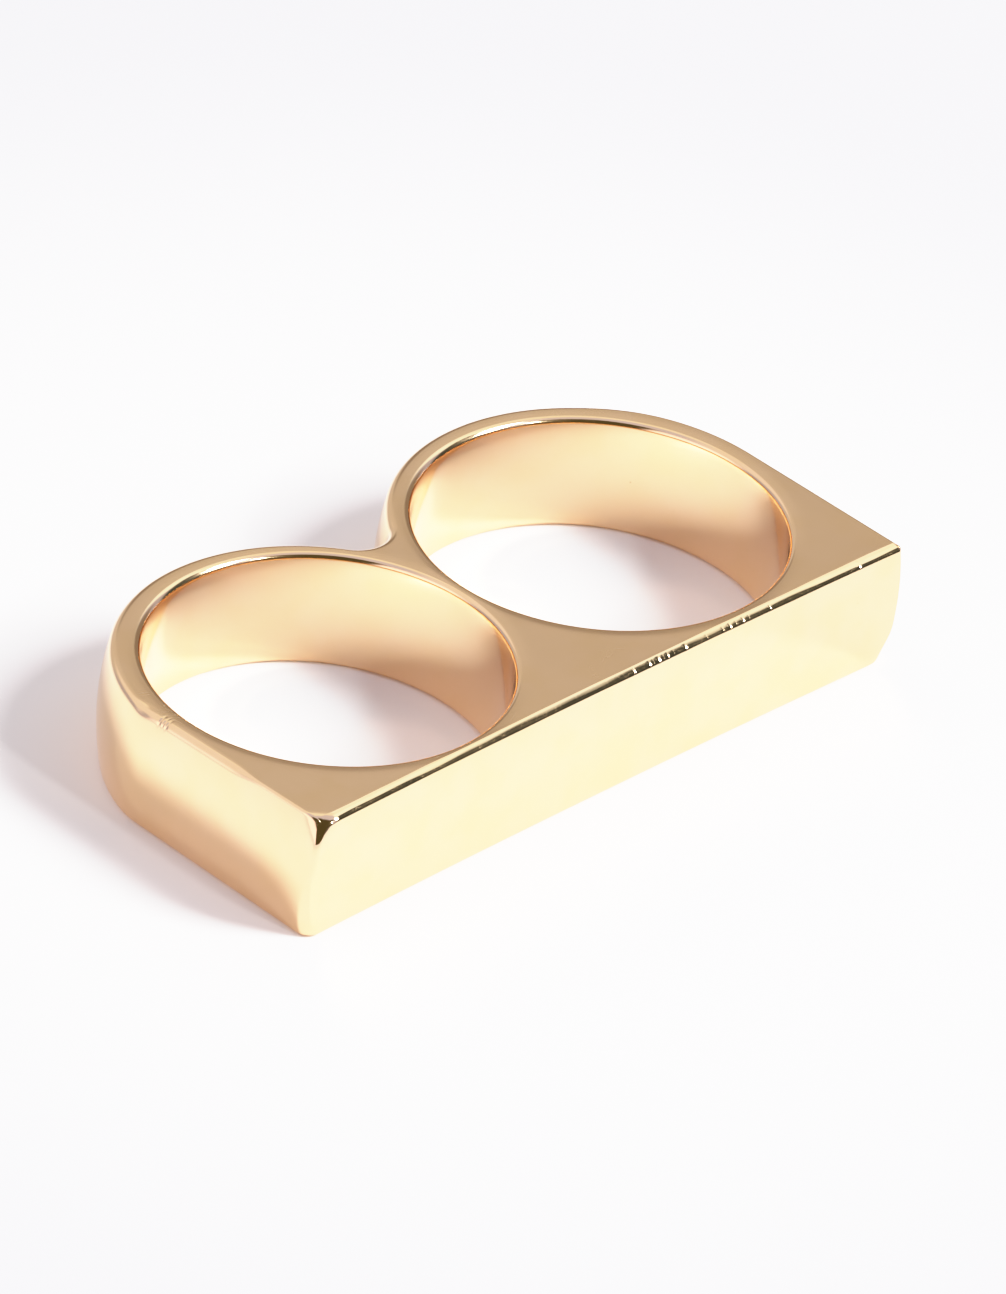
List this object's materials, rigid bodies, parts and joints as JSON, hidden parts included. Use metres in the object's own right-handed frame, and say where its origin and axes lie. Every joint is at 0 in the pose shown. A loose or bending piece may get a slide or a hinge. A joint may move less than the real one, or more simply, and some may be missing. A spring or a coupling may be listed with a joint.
{
  "type": "two-finger bar ring",
  "caption": "Double ring whose two finger bands share one straight, flat-faced bar across the front.",
  "frame": {"origin": "middle of the footprint, on the surface that the ring lies on", "axes": "+Z along the fingers' axis, +X along the bar, and the bar's long flat face looks towards -Y"},
  "size_m": [0.039, 0.0204, 0.0066],
  "materials": {
    "polished_gold": "gold-plated brass, polished to a mirror, with fine handling marks"
  },
  "bodies": {
    "root": {"ring": "polished_gold"}
  },
  "joints": []
}
